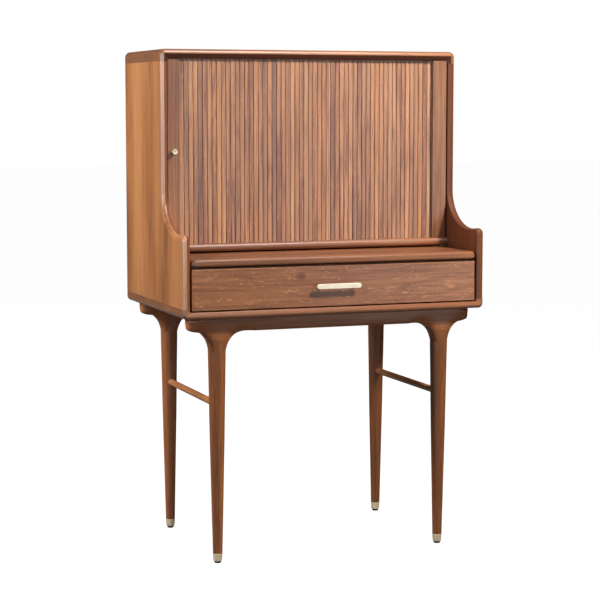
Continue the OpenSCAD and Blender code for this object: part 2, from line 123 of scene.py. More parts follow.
class Bench:
    """Places nodes in one tree and joins them."""

    def __init__(self, tree: NodeTree) -> None:
        """Works on the given node tree."""
        self.tree = tree

    def add(self, kind: str, **settings: object) -> ShaderNode:
        """Adds a node.

        Args:
            kind: Blender's name of the node type.
            settings: properties to set on the node.

        Returns:
            The new node.
        """
        node = self.tree.nodes.new(kind)
        for name, value in settings.items():
            setattr(node, name, value)
        return node

    def feed(self, socket: NodeSocket, value: object) -> None:
        """Links a socket into another, or sets a constant on it.

        Args:
            socket: the input socket.
            value: an output socket or a constant.
        """
        if isinstance(value, NodeSocket):
            self.tree.links.new(value, socket)
        elif isinstance(value, tuple) and len(value) == 3 and socket.type == "RGBA":
            socket.default_value = (*value, 1.0)
        else:
            socket.default_value = value

    def use(self, group: NodeTree, values: dict[str, object]) -> Sockets:
        """Places a shared node group.

        Args:
            group: the shared group.
            values: what goes into each of its inputs.

        Returns:
            Its outputs.
        """
        node = self.add("ShaderNodeGroup", node_tree=group)
        for label, value in values.items():
            self.feed(node.inputs[label], value)
        return node.outputs

    def sum(self, kind: str, *values: object, clamp: bool = False) -> NodeSocket:
        """Does one step of arithmetic.

        Args:
            kind: the operation, as the Math node names it.
            values: output sockets or numbers.
            clamp: whether the result is held between 0 and 1.

        Returns:
            The result's socket.
        """
        node = self.add("ShaderNodeMath", operation=kind, use_clamp=clamp)
        for socket, value in zip(node.inputs, values):
            self.feed(socket, value)
        return node.outputs[0]

    def sway(self, value: NodeSocket, share: object, level: object = 0.0) -> NodeSocket:
        """Adds to a level how far a random value lies from its middle, times a share."""
        return self.sum("MULTIPLY_ADD", self.sum("SUBTRACT", value, 0.5), share, level)

    def blend(self, share: object, low: object, high: object) -> NodeSocket:
        """Mixes two colours.

        Args:
            share: how much of the second colour.
            low: the first colour.
            high: the second colour.

        Returns:
            The mixed colour's socket.
        """
        node = self.add("ShaderNodeMix", data_type="RGBA")
        for place, value in zip((0, 6, 7), (share, low, high)):
            self.feed(node.inputs[place], value)
        return node.outputs[2]

    def span(self, value: object, source: Sequence[float], target: Sequence[float]) -> NodeSocket:
        """Maps one range of values onto another, clamped.

        Args:
            value: the value to map.
            source: lowest and highest value that comes in.
            target: lowest and highest value that goes out.

        Returns:
            The mapped value's socket.
        """
        node = self.add("ShaderNodeMapRange", clamp=True)
        for socket, number in zip(node.inputs, (value, *source, *target)):
            self.feed(socket, number)
        return node.outputs[0]

    def axes(self, vector: NodeSocket) -> Sockets:
        """Takes a vector apart.

        Args:
            vector: the vector.

        Returns:
            Its X, Y and Z.
        """
        node = self.add("ShaderNodeSeparateXYZ")
        self.feed(node.inputs[0], vector)
        return node.outputs

    def noise(self, vector: NodeSocket, layer: Layer) -> NodeSocket:
        """Makes a soft random value.

        Args:
            vector: where it is read.
            layer: what it looks like.

        Returns:
            The value's socket, around 0.5.
        """
        if layer.squash != EVEN:
            vector = self.stretched(vector, layer.squash)
        node = self.add("ShaderNodeTexNoise")
        self.feed(node.inputs["Vector"], vector)
        for name in ("Scale", "Detail", "Roughness", "Distortion"):
            node.inputs[name].default_value = getattr(layer, name.lower())
        return node.outputs["Fac"]

    def stretched(self, vector: NodeSocket, scale: Sequence[float]) -> NodeSocket:
        """Scales a vector, axis by axis.

        Args:
            vector: the vector.
            scale: the scale along each axis.

        Returns:
            The scaled vector's socket.
        """
        node = self.add("ShaderNodeMapping")
        self.feed(node.inputs["Vector"], vector)
        node.inputs["Scale"].default_value = scale
        return node.outputs[0]


def new_group(
    name: str, inputs: dict[str, str], outputs: dict[str, str]
) -> tuple[NodeTree, Bench, Sockets, Sockets]:
    """Starts a shader node group.

    Args:
        name: the group's name.
        inputs: input names, with their socket types.
        outputs: output names, with their socket types.

    Returns:
        The group, a bench for it, what it is given and what it hands out.
    """
    group = bpy.data.node_groups.new(name, "ShaderNodeTree")
    for side, sockets in (("INPUT", inputs), ("OUTPUT", outputs)):
        for label, kind in sockets.items():
            group.interface.new_socket(label, in_out=side, socket_type=f"NodeSocket{kind}")
    bench = Bench(group)
    return (group, bench, bench.add("NodeGroupInput").outputs,
            bench.add("NodeGroupOutput").inputs)


class Patterns:
    """Node groups that several finishes share. Each is built once."""

    def __init__(self) -> None:
        """Builds every group."""
        self.figure = self._figure()
        self.rim_wear_and_shade = self._rim_wear_and_shade()
        self.slats = self._slats()
        self.knot = self._knot()
        self.end_block = self._end_block()
        self.handling = self._handling()

    @staticmethod
    def _figure() -> NodeTree:
        """Wood figure with its fibres along Z: tone, streaks, ring lines, flecks and pores."""
        group, bench, given, result = new_group(
            "wood_figure",
            {"Vector": "Vector", "Light": "Color", "Middle": "Color", "Dark": "Color",
             "Rings": "Float", "Flecks": "Float", "Clouds": "Float", "Contrast": "Float"},
            {"Color": "Color", "Polish": "Float", "Height": "Float"},
        )
        place = given["Vector"]
        fibre = bench.noise(place, FIBRE)
        turns = bench.sum("MULTIPLY", bench.noise(place, ARCHES), RINGS_TO_AN_ARCH)
        ring = bench.span(bench.sum("PINGPONG", turns, 0.5), (0.0, 0.25), (-1.0, 0.0))
        fleck = bench.span(bench.noise(place, SPOTS), (0.58, 0.70), (0.0, 1.0))
        pore = bench.span(bench.noise(place, PORES), (0.60, 0.72), (0.0, 1.0))
        level = bench.sway(bench.noise(place, TONE), given["Clouds"])
        level = bench.sway(bench.noise(place, STREAK), STREAK_SHARE, level)
        level = bench.sway(fibre, FIBRE_SHARE, level)
        level = bench.sum("MULTIPLY_ADD", ring, given["Rings"], level)
        level = bench.sum("MULTIPLY_ADD", fleck, given["Flecks"], level)
        level = bench.sum("MULTIPLY_ADD", level, given["Contrast"], 0.5, clamp=True)
        low = bench.blend(bench.span(level, (0.0, 0.5), (0.0, 1.0)), given["Dark"],
                          given["Middle"])
        high = bench.blend(bench.span(level, (0.5, 1.0), (0.0, 1.0)), low, given["Light"])
        bench.feed(result["Color"], bench.blend(bench.sum("MULTIPLY", pore, PORE_SHARE), high,
                                                given["Dark"]))
        bench.feed(result["Polish"], bench.sum("MULTIPLY_ADD", fibre, 0.5, level, clamp=True))
        bench.feed(result["Height"], bench.sum("SUBTRACT", bench.sum("MULTIPLY", fibre, 0.6),
                                               pore))
        return group

    @staticmethod
    def _rim_wear_and_shade() -> NodeTree:
        """A second colour on faces marked as rim, broken up by noise: lighter rubbed wear on eased
        edges, and a dark edge colour on the leaning front strips that mostly paints their shade.
        """
        group, bench, given, result = new_group(
            "rim_wear_and_shade",
            {"Vector": "Vector", "Color": "Color", "WearAndShade": "Color", "Amount": "Float"},
            {"Color": "Color", "Mask": "Float"},
        )
        rim = bench.add("ShaderNodeAttribute", attribute_name=RIM, attribute_type="GEOMETRY")
        # Where the rim colour shows: rubbed wear, and painted shade where a finish gives a dark
        # edge colour.
        rim_patches = bench.span(bench.noise(given["Vector"], RUB_AND_SHADE_PATCHES), (0.42, 0.68), (0.25, 1.0))
        mask = bench.sum("MULTIPLY", bench.sum("MULTIPLY", rim.outputs["Fac"], rim_patches),
                         given["Amount"], clamp=True)
        bench.feed(result["Color"], bench.blend(mask, given["Color"], given["WearAndShade"]))
        bench.feed(result["Mask"], mask)
        return group

    @staticmethod
    def _slats() -> NodeTree:
        """Tells the slats of the curtain apart: each gets its own figure, shade and warmth."""
        group, bench, given, result = new_group(
            "slats",
            {"Vector": "Vector", "Start": "Float", "Pitch": "Float"},
            {"Vector": "Vector", "Shade": "Float", "Warmth": "Float"},
        )
        x, y, z = bench.axes(given["Vector"])
        along = bench.sum("SUBTRACT", x, given["Start"])
        number = bench.sum("FLOOR", bench.sum("DIVIDE", along, given["Pitch"]))
        chances = []
        for offset in CHANCE_OFFSETS:
            chance = bench.add("ShaderNodeTexWhiteNoise", noise_dimensions="1D")
            bench.feed(chance.inputs["W"], bench.sum("ADD", number, offset))
            chances.append(chance.outputs["Value"])
        sideways = bench.sum("MULTIPLY", number, SLAT_STEPS[0])
        upwards = bench.sum("MULTIPLY", chances[2], SLAT_STEPS[1])
        moved = bench.add("ShaderNodeCombineXYZ")
        bench.feed(moved.inputs["X"], bench.sum("ADD", x, sideways))
        bench.feed(moved.inputs["Y"], y)
        bench.feed(moved.inputs["Z"], bench.sum("ADD", z, upwards))
        bench.feed(result["Vector"], moved.outputs[0])
        bench.feed(result["Shade"], chances[0])
        bench.feed(result["Warmth"], chances[1])
        return group

    @staticmethod
    def _knot() -> NodeTree:
        """A small knot: a dark eye in a ring of swirled grain."""
        group, bench, given, result = new_group(
            "knot",
            {"Vector": "Vector", "Centre": "Vector", "Reach": "Float", "Color": "Color",
             "Eye": "Color", "Strength": "Float"},
            {"Color": "Color"},
        )
        away = bench.add("ShaderNodeVectorMath", operation="SUBTRACT")
        bench.feed(away.inputs[0], given["Vector"])
        bench.feed(away.inputs[1], given["Centre"])
        span = bench.add("ShaderNodeVectorMath", operation="LENGTH")
        bench.feed(span.inputs[0], bench.stretched(away.outputs[0], (0.62, 0.0, 1.0)))
        ratio = bench.sum("DIVIDE", span.outputs["Value"], given["Reach"])
        ratio = bench.sway(bench.noise(given["Vector"], RIPPLE), 1.1, ratio)
        mask = bench.span(ratio, (0.25, 1.0), (1.0, 0.0))
        rings = bench.sum("PINGPONG", bench.sum("MULTIPLY", ratio, 2.6), 0.5)
        mask = bench.sum("MULTIPLY", mask, bench.span(rings, (0.0, 0.5), (1.0, 0.6)))
        mask = bench.sum("MULTIPLY", mask, given["Strength"], clamp=True)
        bench.feed(result["Color"], bench.blend(mask, given["Color"], given["Eye"]))
        return group

    @staticmethod
    def _end_block() -> NodeTree:
        """Darker end grain at both ends of a long board, by its place along X."""
        group, bench, given, result = new_group(
            "end_block",
            {"Vector": "Vector", "Color": "Color", "End": "Color", "Reach": "Float"},
            {"Color": "Color"},
        )
        side = bench.sum("ABSOLUTE", bench.axes(given["Vector"])["X"])
        mask = bench.span(bench.sum("SUBTRACT", side, given["Reach"]), (0.0, BLOCK_EDGE),
                          (0.0, 1.0))
        speck = bench.span(bench.noise(given["Vector"], SPECKS), (0.45, 0.7), (0.0, 0.5))
        band = bench.span(bench.noise(given["Vector"], BANDS), (0.35, 0.7), (0.0, 0.6))
        ends = bench.blend(speck, given["End"], bench.blend(0.5, given["End"], DARK_SPECK))
        ends = bench.blend(band, ends, given["Color"])
        bench.feed(result["Color"], bench.blend(mask, given["Color"], ends))
        return group

    @staticmethod
    def _handling() -> NodeTree:
        """Faint smears and dust that change how a surface shines."""
        group, bench, given, result = new_group(
            "handling", {"Vector": "Vector", "Amount": "Float"}, {"Value": "Float"})
        bench.feed(result["Value"], bench.sway(bench.noise(given["Vector"], SMEARS),
                                               given["Amount"]))
        return group


# ------------------------------------------------------------------ finishes


class Surface:
    """A material in the making."""

    def __init__(self, name: str) -> None:
        """Starts a material with a plain shader."""
        self.material = bpy.data.materials.new(name)
        self.material.use_nodes = True
        self.bench = Bench(self.material.node_tree)
        self.shader = self.material.node_tree.nodes["Principled BSDF"]

    def place(self) -> NodeSocket:
        """Gives the point of the object that is being coloured."""
        return self.bench.add("ShaderNodeTexCoord").outputs["Object"]

    def set(self, values: dict[str, object]) -> None:
        """Feeds the shader's inputs, each with a socket or a constant."""
        for label, value in values.items():
            self.bench.feed(self.shader.inputs[label], value)

    def smeared(self, patterns: Patterns, place: NodeSocket, amount: float, rough: object) -> None:
        """Sets the roughness, with faint smears of the given strength added."""
        smears = self.bench.use(patterns.handling, {"Vector": place, "Amount": amount})
        self.set({"Roughness": self.bench.sum("ADD", rough, smears["Value"], clamp=True)})

    def relief(self, height: NodeSocket, strength: float, depth: float) -> None:
        """Bumps the surface.

        Args:
            height: a value that varies.
            strength: how strongly it bumps, from 0 to 1.
            depth: how deep the bumps are.
        """
        bump = self.bench.add("ShaderNodeBump")
        bump.inputs["Strength"].default_value = strength
        bump.inputs["Distance"].default_value = depth
        self.bench.feed(bump.inputs["Height"], height)
        self.set({"Normal": bump.outputs[0]})


@dataclass(frozen=True)
class Knot:
    """One knot in a board: where it is, how far it reaches and how dark it is."""

    centre: tuple[float, float, float]
    reach: float
    strength: float


@dataclass(frozen=True)
class Walnut:
    """An oiled walnut finish.

    Colours are linear. seed moves the figure so that no two boards share it. edge is the
    colour of faces marked as rim, which then have no clear coat; on the leaning strips of the
    side panels and the top board it is darkened to paint the shade that falls there.
    """

    name: str
    grain: Grain
    light: RGB
    middle: RGB
    dark: RGB
    seed: float = 0.0
    rings: float = 0.12
    flecks: float = 0.0
    clouds: float = 1.5
    contrast: float = 1.0
    shine: tuple[float, float] = (0.36, 0.52)
    coat: float = 0.5
    coat_rough: float = 0.25
    gloss: float = 0.5
    wear_and_shade: float = 0.25
    edge: RGB | None = None
    end_reach: float = 0.0
    slat_start: float = 0.0
    slat_pitch: float = 0.0
    knots: tuple[Knot, ...] = ()

    def _figured(
        self, bench: Bench, patterns: Patterns, place: NodeSocket
    ) -> tuple[NodeSocket, Sockets]:
        """Lays out the wood figure, slat by slat where there are slats.

        Args:
            bench: the material's bench.
            patterns: the shared node groups.
            place: where the figure is read.

        Returns:
            The colour and all that the figure gives.
        """
        read = place
        if self.slat_pitch:
            slats = bench.use(patterns.slats, {
                "Vector": place, "Start": self.slat_start, "Pitch": self.slat_pitch})
            read = slats["Vector"]
        turn = bench.add("ShaderNodeMapping")
        bench.feed(turn.inputs["Vector"], read)
        turn.inputs["Rotation"].default_value = self.grain.value
        turn.inputs["Location"].default_value = (self.seed, self.seed * 0.7, self.seed * 1.3)
        figure = bench.use(patterns.figure, {
            "Vector": turn.outputs[0], "Light": self.light, "Middle": self.middle,
            "Dark": self.dark, "Rings": self.rings, "Flecks": self.flecks,
            "Clouds": self.clouds, "Contrast": self.contrast})
        colour = figure["Color"]
        if self.slat_pitch:
            cool = bench.span(slats["Shade"], (0.45, 0.0), (0.0, 0.75))
            warm = bench.span(slats["Warmth"], (0.5, 1.0), (0.0, 0.7))
            colour = bench.blend(warm, colour, bench.blend(0.55, colour, COPPER))
            colour = bench.blend(cool, colour, bench.blend(0.6, colour, SMOKE))
        return colour, figure

    def make(self, patterns: Patterns) -> Material:
        """Builds the material.

        Args:
            patterns: the shared node groups.

        Returns:
            The finished material.
        """
        surface = Surface(self.name)
        bench, place = surface.bench, surface.place()
        colour, figure = self._figured(bench, patterns, place)
        for knot in self.knots:
            colour = bench.use(patterns.knot, {
                "Vector": place, "Centre": knot.centre, "Reach": knot.reach, "Color": colour,
                "Eye": self.dark, "Strength": knot.strength})["Color"]
        if self.end_reach:
            colour = bench.use(patterns.end_block, {
                "Vector": place, "Color": colour, "End": END_GRAIN,
                "Reach": self.end_reach})["Color"]
        # The rim colour is rubbed wear on eased edges and, with an edge colour, painted shade on
        # the leaning front strips.
        rim = bench.use(patterns.rim_wear_and_shade, {
            "Vector": place, "Color": colour, "WearAndShade": self.edge or self.light,
            "Amount": self.wear_and_shade})
        coat = self.coat
        if self.edge and self.coat:
            coat = bench.sum("MULTIPLY_ADD", rim["Mask"], -self.coat, self.coat, clamp=True)
        surface.set({"Base Color": rim["Color"], "IOR": 1.47, "Specular IOR Level": self.gloss,
                     "Coat Weight": coat, "Coat Roughness": self.coat_rough})
        surface.smeared(patterns, place, 0.16, bench.span(
            figure["Polish"], (0.0, 1.0), (self.shine[1], self.shine[0])))
        surface.relief(figure["Height"], 0.25, 0.6 * MM)
        return surface.material


@dataclass(frozen=True)
class Metal:
    """A satin metal with fine rubbing marks along one axis."""

    name: str
    base: RGB
    tarnish: RGB
    rough: tuple[float, float]
    marks: tuple[float, float, float]
    metallic: float = 1.0

    def make(self, patterns: Patterns) -> Material:
        """Builds the material.

        Args:
            patterns: the shared node groups.

        Returns:
            The finished material.
        """
        surface = Surface(self.name)
        bench, place = surface.bench, surface.place()
        scratch = bench.noise(place, Layer(900.0, 3.0, 0.6, squash=self.marks))
        dull = bench.span(bench.noise(place, TARNISH), (0.45, 0.75), (0.0, 0.6))
        rim_patches = bench.use(patterns.rim_wear_and_shade, {
            "Vector": place, "Color": bench.blend(dull, self.base, self.tarnish),
            "WearAndShade": self.base, "Amount": 0.8})
        surface.set({"Base Color": rim_patches["Color"], "Metallic": self.metallic})
        surface.smeared(patterns, place, 0.12, bench.span(scratch, (0.3, 0.7), self.rough))
        surface.relief(scratch, 0.15, 0.2 * MM)
        return surface.material


@dataclass(frozen=True)
class Plastic:
    """A dark moulded plastic with a fine pebbled skin."""

    name: str
    base: RGB
    dust: RGB
    rough: float = 0.55

    def make(self, patterns: Patterns) -> Material:
        """Builds the material.

        Args:
            patterns: the shared node groups.

        Returns:
            The finished material.
        """
        surface = Surface(self.name)
        bench, place = surface.bench, surface.place()
        dusty = bench.span(bench.noise(place, DUST), (0.5, 0.8), (0.0, 0.5))
        surface.set({"Base Color": bench.blend(dusty, self.base, self.dust)})
        surface.smeared(patterns, place, 0.2, self.rough)
        surface.relief(bench.noise(place, PEBBLES), 0.3, 0.2 * MM)
        return surface.material


SLAT_PITCH = 12.2 * MM
STRIP_MARGIN = 0.1 * MM
SLAT_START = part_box("curtain_strip_01")[0].x - STRIP_MARGIN

WHITE = (1.0, 1.0, 1.0)
COPPER = (0.57, 0.26, 0.090)
SMOKE = (0.155, 0.092, 0.075)
END_GRAIN = (0.190, 0.086, 0.045)
CASE_TONES = ((0.520, 0.232, 0.090), (0.385, 0.158, 0.058), (0.195, 0.074, 0.031))
TOP_TONES = ((0.430, 0.180, 0.072), (0.300, 0.118, 0.048), (0.110, 0.046, 0.026))
FRONT_TONES = ((0.430, 0.185, 0.080), (0.270, 0.106, 0.046), (0.120, 0.044, 0.022))
BOARD_TONES = ((0.350, 0.140, 0.058), (0.220, 0.080, 0.032), (0.100, 0.035, 0.016))
# A darker copy of the stile's walnut for the jamb: painted shade.
SHADED_JAMB_TONES = ((0.340, 0.145, 0.060), (0.215, 0.083, 0.034), (0.100, 0.036, 0.016))
DRAWER_TONES = ((0.510, 0.205, 0.078), (0.290, 0.108, 0.041), (0.150, 0.053, 0.022))
# The dark tone has a bluish cast that paints the sheen of the coat over the slats' dark grain.
SLAT_TONES = ((0.575, 0.290, 0.140), (0.435, 0.200, 0.104), (0.215, 0.092, 0.062))
# A darker copy of the case walnut for the right side panel, painting the shade on its inner face.
SHADED_RIGHT_TONES = ((0.230, 0.076, 0.022), (0.158, 0.045, 0.012), (0.085, 0.023, 0.007))
BASE_TONES = ((0.440, 0.165, 0.062), (0.320, 0.112, 0.038), (0.170, 0.056, 0.020))
LEG_TONES = ((0.390, 0.140, 0.048), (0.262, 0.090, 0.028), (0.130, 0.043, 0.013))
INNER_TONES = ((0.520, 0.300, 0.150), (0.400, 0.215, 0.105), (0.240, 0.115, 0.055))
# The first three are lipping colours darkened to paint the shade on the leaning front strips of
# the left panel, the right panel and the top board.
SHADED_LIPPING = (0.210, 0.070, 0.030)
FAR_SHADED_LIPPING = (0.150, 0.050, 0.020)
TOP_SHADED_LIPPING = (0.060, 0.016, 0.006)
LOW_LIPPING = (0.270, 0.096, 0.036)
DRAWER_KNOTS = (
    Knot((-0.096, -0.242, 0.7065), 0.012, 1.5),
    Knot((0.186, -0.242, 0.671), 0.015, 0.7),
)
INNER_WOOD = Walnut("inner_wood", Grain.ACROSS, *INNER_TONES, seed=21.0, contrast=0.7,
                    shine=(0.5, 0.62), coat=0.0)


class Finish(Enum):
    """Every finish on the desk."""

    SIDE_LEFT = Walnut("walnut_side_left", Grain.UPRIGHT, *CASE_TONES, seed=1.7, rings=0.06,
                       clouds=2.6, contrast=1.05, coat=1.0, coat_rough=0.3, wear_and_shade=4.0,
                       edge=SHADED_LIPPING)
    # The right panel is a darker copy of the left one's walnut: painted shade.
    SIDE_RIGHT = Walnut("walnut_side_right", Grain.UPRIGHT, *SHADED_RIGHT_TONES, seed=3.3, rings=0.08,
                        contrast=0.9, shine=(0.5, 0.62), coat=0.0, gloss=0.3, wear_and_shade=4.0,
                        edge=FAR_SHADED_LIPPING)
    TOP = Walnut("walnut_top", Grain.ACROSS, *TOP_TONES, seed=4.1, contrast=0.8,
                 coat=1.0, coat_rough=0.3, gloss=0.3, wear_and_shade=4.0, edge=TOP_SHADED_LIPPING,
                 end_reach=0.388)
    BOTTOM = Walnut("walnut_bottom", Grain.ACROSS, *TOP_TONES, seed=5.2, contrast=0.8,
                    coat=0.7, coat_rough=0.3, wear_and_shade=4.0, edge=LOW_LIPPING, end_reach=0.388)
    DRAWER = Walnut("walnut_drawer", Grain.ACROSS, *DRAWER_TONES, seed=6.4, rings=0.35,
                    flecks=1.4, clouds=1.3, contrast=0.62, coat=0.3, coat_rough=0.2,
                    gloss=0.4, knots=DRAWER_KNOTS)
    BOARD = Walnut("walnut_board", Grain.ACROSS, *BOARD_TONES, seed=9.2, contrast=0.8,
                   coat=0.15, coat_rough=0.36, gloss=0.35)
    SILL = Walnut("walnut_sill", Grain.ACROSS, *FRONT_TONES, seed=11.5, contrast=0.6,
                  shine=(0.38, 0.5), coat=0.6, coat_rough=0.28)
    SLATS = Walnut("walnut_slats", Grain.UPRIGHT, *SLAT_TONES, seed=2.9, rings=0.25,
                   flecks=0.3, contrast=1.3, coat=0.18, wear_and_shade=0.1, slat_start=SLAT_START,
                   slat_pitch=SLAT_PITCH)
    STILE = Walnut("walnut_stile", Grain.UPRIGHT, *FRONT_TONES, seed=13.3, contrast=0.8)
    # The jamb is a darker copy of the stile's walnut: painted shade.
    JAMB = Walnut("walnut_jamb", Grain.UPRIGHT, *SHADED_JAMB_TONES, seed=14.6, contrast=0.9, coat=0.25)
    BASE = Walnut("walnut_aprons", Grain.ACROSS, *BASE_TONES, seed=15.8, contrast=0.8,
                  coat=0.3, coat_rough=0.26, gloss=0.2)
    LEGS = Walnut("walnut_legs", Grain.UPRIGHT, *LEG_TONES, seed=17.1, contrast=0.9,
                  coat=0.6, coat_rough=0.18, gloss=0.15)
    RODS = Walnut("walnut_rods", Grain.DEEP, *CASE_TONES, seed=19.9)
    INNER = INNER_WOOD
    INNER_UP = replace(INNER_WOOD, name="inner_wood_upright", grain=Grain.UPRIGHT, seed=23.0)
    INNER_DEEP = replace(INNER_WOOD, name="inner_wood_deep", grain=Grain.DEEP, seed=24.0)
    PLY = Walnut("plywood", Grain.UPRIGHT, *INNER_TONES, seed=25.0, rings=0.3,
                 contrast=0.8, shine=(0.55, 0.68), coat=0.0)
    BRASS = Metal("satin_brass", (0.85, 0.75, 0.59), (0.70, 0.57, 0.40), (0.3, 0.42),
                  (0.02, 1.0, 1.0), metallic=0.8)
    # A brighter copy of the brass for the ferrules: painted light in place of the pale surround
    # they reflect.
    FERRULE = Metal("ferrule_brass", (0.97, 0.80, 0.56), (0.80, 0.62, 0.40), (0.34, 0.46),
                    (1.0, 1.0, 0.05), metallic=0.55)
    # A darker copy of the brass for the knob: painted shade that tones down its reflections.
    KNOB = Metal("knob_brass", (0.66, 0.54, 0.37), (0.50, 0.41, 0.26), (0.4, 0.52),
                 (1.0, 0.05, 1.0), metallic=0.7)
    STEEL = Metal("zinc_steel", (0.62, 0.62, 0.63), (0.42, 0.42, 0.42), (0.3, 0.42),
                  (1.0, 1.0, 0.1))
    BLACK = Plastic("black_glides", (0.012, 0.011, 0.010), (0.06, 0.055, 0.05))


class Wardrobe:
    """Hands out the finished materials, each made once."""

    def __init__(self) -> None:
        """Builds every pattern and finish."""
        patterns = Patterns()
        self.materials = {finish: finish.value.make(patterns) for finish in Finish}

    def dress(self, piece: Object, finish: Finish) -> None:
        """Puts one finish on a whole piece."""
        piece.data.materials.clear()
        piece.data.materials.append(self.materials[finish])

    def dress_node(self, node: str, finish: Finish) -> None:
        """Puts one finish on a CAD node that stays in view.

        Args:
            node: the CAD node's name.
            finish: what it is finished with.
        """
        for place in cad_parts[node].material_slots:
            place.link = "OBJECT"
            place.material = self.materials[finish]


# ------------------------------------------------------------------ mesh helpers


def in_plane(part: BMEdge | BMFace, axis: int, at: float, within: float = NEAR) -> bool:
    """Tells whether an edge or face lies where an axis has one value, within a tolerance."""
    return all(abs(vert.co[axis] - at) < within for vert in part.verts)


def run(edge: BMEdge, axis: int) -> float:
    """Gives how far an edge runs along an axis."""
    return abs(edge.verts[0].co[axis] - edge.verts[1].co[axis])


def is_corner(edge: BMEdge) -> bool:
    """Tells whether the two faces at an edge meet at a real angle."""
    return edge.calc_face_angle(0.0) > CORNER


def whole(bm: BMesh) -> list[BMVert | BMEdge | BMFace]:
    """Lists every corner, edge and face of a mesh."""
    return [*bm.verts, *bm.edges, *bm.faces]


def rim_layer(bm: BMesh) -> BMLayerItem:
    """Gives the layer that marks faces as rim, which is made where it is missing."""
    return bm.faces.layers.float.get(RIM) or bm.faces.layers.float.new(RIM)


def smooth(bm: BMesh, verts: Sequence[BMVert], share: float) -> None:
    """Moves each corner a share of the way to the middle of its neighbours."""
    bmesh.ops.smooth_vert(bm, verts=verts, factor=share, use_axis_x=True, use_axis_y=True,
                          use_axis_z=True)


def round_edges(
    bm: BMesh, edges: Iterable[BMEdge], radius: float, segments: int,
    rim: bool = True, clamp: bool = True,
) -> None:
    """Rounds edges.

    Args:
        bm: the mesh being shaped.
        edges: the edges to round.
        radius: how far the rounding reaches.
        segments: how many faces make the round.
        rim: whether the new faces count as worn rim.
        clamp: whether the rounding gives way where edges come close.
    """
    layer = rim_layer(bm)
    result = bmesh.ops.bevel(
        bm, geom=list(edges), offset=radius, offset_type="OFFSET", segments=segments,
        profile=0.5, affect="EDGES", clamp_overlap=clamp, material=-1,
    )
    if rim:
        for face in result["faces"]:
            face[layer] = 1.0


def lean_inwards(
    bm: BMesh, verts: Iterable[BMVert], is_front: Callable[[BMFace], bool], back: float
) -> None:
    """Leans a front edge back towards its opening and marks the leaning faces as rim.

    Args:
        bm: the mesh being shaped.
        verts: the corners along the opening's side of the front edge.
        is_front: tells whether a face belongs to the front edge.
        back: how far the corners go back.
    """
    layer = rim_layer(bm)
    bm.normal_update()
    moves = []
    for vert in verts:
        fronts = [face for face in vert.link_faces if is_front(face)]
        moves.append((vert, sum((face.normal for face in fronts), Vector()).normalized()))
        for face in fronts:
            face[layer] = 1.0
    for vert, out in moves:
        vert.co -= out * back
    bm.normal_update()


def block(bm: BMesh, low: Vector, high: Vector) -> list[BMEdge]:
    """Adds a box between two corners.

    Args:
        bm: the mesh being shaped.
        low: the lowest corner.
        high: the highest corner.

    Returns:
        The box's edges.
    """
    size = high - low
    matrix = Matrix.Translation((low + high) / 2) @ Matrix.Diagonal((*size, 1.0))
    made = bmesh.ops.create_cube(bm, size=1.0, matrix=matrix)
    return list({edge for vert in made["verts"] for edge in vert.link_edges})


def on_scene(name: str, data: ID) -> Object:
    """Puts a new object into the scene.

    Args:
        name: the object's name.
        data: its mesh, light or camera.

    Returns:
        The object.
    """
    item = bpy.data.objects.new(name, data)
    bpy.context.scene.collection.objects.link(item)
    return item


def settle(bm: BMesh, name: str, crease: float = CREASE, flat: bool = True) -> Object:
    """Turns a shaped mesh into an object with clean normals and smooth shading.

    Args:
        bm: the shaped mesh, which is freed.
        name: the piece's name.
        crease: the angle past which an edge stays sharp.
        flat: whether large faces keep their own normal beside small rounds.

    Returns:
        The new object.
    """
    rim_layer(bm)
    bmesh.ops.recalc_face_normals(bm, faces=bm.faces)
    mesh = bpy.data.meshes.new(name)
    bm.to_mesh(mesh)
    bm.free()
    mesh.shade_smooth()
    mesh.set_sharp_from_angle(angle=crease)
    piece = on_scene(name, mesh)
    if flat:
        shading = piece.modifiers.new("true_flats", "WEIGHTED_NORMAL")
        shading.keep_sharp = True
        shading.weight = 50
    return piece


def merged_copy(node: str) -> BMesh:
    """Copies a CAD node's mesh with its corners joined and its flat faces made whole.

    Args:
        node: the CAD node's name.

    Returns:
        The copy.
    """
    bm = bmesh.new()
    bm.from_mesh(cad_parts[node].data)
    bmesh.ops.remove_doubles(bm, verts=bm.verts, dist=WELD)
    bmesh.ops.dissolve_limit(bm, angle_limit=FLAT, use_dissolve_boundaries=False,
                             verts=bm.verts, edges=bm.edges)
    return bm


@dataclass
class Maker:
    """Hands finished pieces over to the frame."""

    wardrobe: Wardrobe

    def hand_over(
        self, piece: Object, body: str, slot: str, finish: Finish, nodes: Sequence[str]
    ) -> None:
        """Dresses a piece, hangs it on its body and hides the CAD nodes it stands for.

        Args:
            piece: the finished piece.
            body: the body that it moves with.
            slot: the record's material slot; not used.
            finish: what it is finished with.
            nodes: the CAD nodes that it replaces.
        """
        self.wardrobe.dress(piece, finish)
        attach(piece, body)
        if nodes:
            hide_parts(*nodes)
        LOG.info("%s: %d faces on %s", piece.name, len(piece.data.polygons), body)

    def eased(
        self, node: str, body: str, slot: str, finish: Finish,
        radius: float = 0.8 * MM, segments: int = TINY,
    ) -> None:
        """Replaces a CAD node by a copy whose sharp edges are eased.

        Args:
            node: the CAD node's name.
            body: the body that it moves with.
            slot: the record's material slot.
            finish: what it is finished with.
            radius: how far the edges are rounded, or 0 to leave them.
            segments: how many faces make the round.
        """
        bm = merged_copy(node)
        if radius:
            sharp = [edge for edge in bm.edges if edge.is_manifold and is_corner(edge)]
            round_edges(bm, sharp, radius, segments)
        self.hand_over(settle(bm, f"{node}_eased"), body, slot, finish, [node])


# ------------------------------------------------------------------ the case


